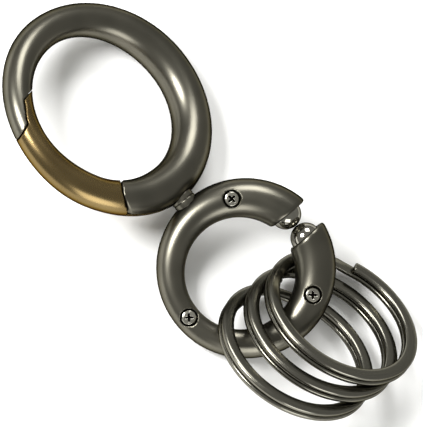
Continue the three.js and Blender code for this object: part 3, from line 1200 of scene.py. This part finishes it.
@dataclass
class SplitRing:
    """Flat spring wire wound twice, with a step where one coil passes to the other."""

    chain: Matrix
    number: int
    step_degrees: float  # where the wire steps from coil to coil
    outer_radius: float = 15.83
    wire_width: float = 2.5
    wire_height: float = 1.26
    coil_gap: float = 0.04
    squareness: float = 3.0  # 2 would be an oval section, and more is flatter
    step_span: float = 34.0  # degrees over which the wire steps across
    steps_per_turn: int = 180
    steps_round_wire: int = 48
    steps_in_end: int = 5
    end_length: float = 0.35  # over which the wire's cut ends are rounded
    end_inset: float = 0.3  # how much slimmer they are at the very end

    @property
    def middle(self) -> float:
        """Radius of the wire's middle line."""
        return self.outer_radius - self.wire_width / 2

    @property
    def half_step(self) -> float:
        """Half of the step across, in turns."""
        return self.step_span / 360 / 2

    @property
    def end_turns(self) -> float:
        """Length of a rounded end, in turns."""
        return self.end_length / (FULL_TURN * self.middle)

    def section(self) -> np.ndarray:
        """The wire's section: a rolled flat with crowned faces and round edges.

        Returns:
            Distance across and height of each point.
        """
        turns = np.linspace(0, FULL_TURN, self.steps_round_wire, endpoint=False)
        across, up = np.cos(turns), np.sin(turns)
        power = 2 / self.squareness
        return np.stack([
            self.wire_width / 2 * np.sign(across) * np.abs(across) ** power,
            self.wire_height / 2 * np.sign(up) * np.abs(up) ** power,
        ], axis=1)

    def rise(self, turn: float) -> float:
        """Height of the wire's middle at a place from 0 to 2 turns."""
        share = min(max((turn - 1 + self.half_step) / (2 * self.half_step), 0.0), 1.0)
        return (2 * eased(share) - 1) * (self.wire_height + self.coil_gap) / 2

    def size_at(self, turn: float) -> float:
        """Size of the section at a place: 1, and less in the rounded ends.

        Args:
            turn: a place from 0 to 2 turns.

        Returns:
            What the section is multiplied by.
        """
        from_end = min(turn - self.half_step, 2 - self.half_step - turn) / self.end_turns
        short = max(0.0, 1 - from_end)
        inset = self.end_inset * (1 - math.sqrt(max(0.0, 1 - short ** 2)))
        return 1 - inset / (self.wire_height / 2)

    def stations(self) -> np.ndarray:
        """Places of the wire's sections, with extra ones in its rounded ends.

        Returns:
            The places in turns, in order.
        """
        start, end = self.half_step, 2 - self.half_step
        quarter = np.linspace(0, math.pi / 2, self.steps_in_end + 1)[:-1]
        rounding = self.end_turns * np.sin(quarter)
        between = np.linspace(start, end, 2 * self.steps_per_turn)[2:-2]  # clear of the ends
        return np.r_[start + rounding, between, (end - rounding)[::-1]]

    def wire(self) -> tuple[Solid, np.ndarray]:
        """The wound wire.

        Returns:
            The solid, and the length and girth of every point of it in metres.
        """
        section = self.section()
        around = np.cumsum(np.r_[0, np.hypot(*np.diff(section, axis=0).T)])
        turns = self.stations()
        points, lengths = [], []
        for turn in turns:
            size = self.size_at(turn)
            angle = FULL_TURN * turn + math.radians(self.step_degrees)
            reach = self.middle + section[:, 0] * size
            height = self.rise(turn) + section[:, 1] * size
            points += zip(reach * math.cos(angle), reach * math.sin(angle), height)
            lengths += [(turn * FULL_TURN * self.middle, girth) for girth in around]
        rows, columns = len(turns), len(section)
        faces = grid_faces(rows, columns, False)
        faces += [list(range(columns)), list(range((rows - 1) * columns, rows * columns))[::-1]]
        solid = facing_out(Solid(f"split_ring_{self.number}_coil", points, faces))
        return solid, np.array(lengths) * MM

    def build(self) -> None:
        """Builds, places and dresses the ring."""
        normal = Vector(joint("split_ring_2_spin")["axis"]).normalized()
        along = self.chain.to_3x3() @ Vector((1, 0, 0))
        first = (along - normal * along.dot(normal)).normalized()
        second = normal.cross(first)
        turn = Matrix((first, second, normal)).transposed().to_4x4()
        node = f"key_ring_{self.number}"
        place = Matrix.Translation(middle_of(node)) @ turn @ Matrix.Scale(MM, 4)
        solid, lengths = self.wire()
        mesh = solid.thing.data
        layer = mesh.uv_layers.new(name="wire")
        corners = np.array([loop.vertex_index for loop in mesh.loops])
        layer.data.foreach_set("uv", lengths[corners].ravel())
        settle(solid, place, f"split_ring_{self.number}", Finish.SMOKED_NICKEL, node, even=True)


# ---- Studio --------------------------------------------------------------------------


@dataclass
class Studio:
    """Pale floor, soft lights and the camera."""

    chain: Matrix
    aim: tuple[float, float, float] = (27.97, 3.04, 0.0)  # on the chain, in millimetres
    yaw: float = math.radians(-2.0)
    elevation: float = math.radians(51.3)
    roll: float = math.radians(51.4)
    distance: float = 500.0  # millimetres from the aim
    lens: float = 225.5
    floor_half: float = 2.0  # metres
    floor_drop: float = 0.05  # millimetres below the chain

    def camera(self) -> bpy.types.Object:
        """Long-lens camera that looks down on the chain and is rolled to stand it upright.

        Returns:
            The camera's object.
        """
        data = bpy.data.cameras.new("camera")
        data.sensor_fit = "HORIZONTAL"
        data.sensor_width = 36.0
        data.lens = self.lens
        data.clip_start = 0.01
        camera = bpy.data.objects.new("camera", data)
        bpy.context.scene.collection.objects.link(camera)
        turn = (Matrix.Rotation(self.yaw, 4, "Z")
                @ Matrix.Rotation(math.pi / 2 - self.elevation, 4, "X")
                @ Matrix.Rotation(self.roll, 4, "Z"))
        pose = self.chain @ Matrix.Translation(self.aim) @ turn
        pose = pose @ Matrix.Translation((0, 0, self.distance))
        camera.matrix_world = Matrix.LocRotScale(
            pose.to_translation(), pose.to_quaternion(), Vector((1, 1, 1)))
        bpy.context.scene.camera = camera
        return camera

    def light(self, name: str, camera: bpy.types.Object, offset: Sequence[float], size: float,
              power: float) -> None:
        """A square soft light, placed by the camera's right, up and back directions.

        Args:
            name: the light's name.
            camera: the camera, whose directions are used.
            offset: metres to the right, up and back from the point that it faces.
            size: side of the light in metres.
            power: watts.
        """
        data = bpy.data.lights.new(name, "AREA")
        data.size = size
        data.energy = power
        lamp = bpy.data.objects.new(name, data)
        bpy.context.scene.collection.objects.link(lamp)
        target = self.chain @ Vector(self.aim)
        lamp.location = target + camera.matrix_world.to_3x3() @ Vector(offset)
        lamp.rotation_euler = (target - lamp.location).to_track_quat("-Z", "Y").to_euler()

    def floor(self) -> None:
        """Pale matt board, lightly mottled, just below the chain."""
        half, height = self.floor_half, -self.floor_drop * MM
        corners = [(-half, -half, height), (half, -half, height), (half, half, height),
                   (-half, half, height)]
        board = Solid("floor", corners, [[0, 1, 2, 3]]).thing
        material = empty_material("pale_matt_board")
        tree = material.node_tree
        place = add_node(tree, "ShaderNodeTexCoord").outputs["Object"]
        mottle = add_node(tree, "ShaderNodeTexNoise", {
            "Vector": place, "Scale": per_metre(2.0), "Detail": 3.0,
        }).outputs["Fac"]
        colour = add_node(tree, "ShaderNodeMix", {
            0: mottle, 6: linear("#fafaf8"), 7: linear("#fdfdfc"),
        }, data_type="RGBA").outputs[2]
        shader = add_node(tree, "ShaderNodeBsdfPrincipled", {
            "Base Color": colour, "Roughness": 0.9,
        }).outputs["BSDF"]
        add_node(tree, "ShaderNodeOutputMaterial", {"Surface": shader})
        board.data.materials.append(material)

    def sky(self) -> None:
        """Even, dim surroundings that fill the shadows."""
        world = bpy.data.worlds.new("soft_grey_room")
        world.use_nodes = True
        tree = world.node_tree
        tree.nodes.clear()
        glow = add_node(tree, "ShaderNodeBackground", {
            "Color": linear("#e6e6e2"), "Strength": 0.5,
        }).outputs["Background"]
        add_node(tree, "ShaderNodeOutputWorld", {"Surface": glow})
        bpy.context.scene.world = world

    def build(self) -> None:
        """Sets the whole stage."""
        camera = self.camera()
        self.floor()
        self.sky()
        self.light("key_softbox", camera, offset=(-0.28, 0.2, 0.5), size=0.22, power=5.0)
        self.light("fill_softbox", camera, offset=(0.15, -0.55, 0.35), size=0.4, power=2.4)
        self.light("top_strip", camera, offset=(0.1, 0.6, 0.3), size=0.3, power=3.0)
        bpy.context.scene.view_settings.view_transform = "Standard"


def dress_hidden_nodes() -> None:
    """Gives the CAD nodes that stay, inside the rings, their real finishes."""
    hidden = {
        "gate_spring": Finish.SPRING_STEEL,
        "swivel_stud": Finish.NICKEL,
        "ball_spring_left": Finish.SPRING_STEEL,
        "ball_spring_right": Finish.SPRING_STEEL,
    }
    for node, finish in hidden.items():
        dress(frame["nodes"][node], finish)
        LOG.info("%s keeps its CAD shape, in %s", node, finish.value.name)


def main() -> None:
    """Builds the key chain and its studio."""
    logging.basicConfig(level=logging.INFO, format="%(name)s: %(message)s")
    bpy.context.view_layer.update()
    chain = chain_place()
    Studio(chain).build()
    GateRing(chain).build()
    Swivel(chain).build()
    CRing(chain).build()
    for number, step_degrees in enumerate((138.0, 138.0, 126.0), 1):
        SplitRing(chain, number, step_degrees).build()
    dress_hidden_nodes()


if __name__ == "__main__":
    main()
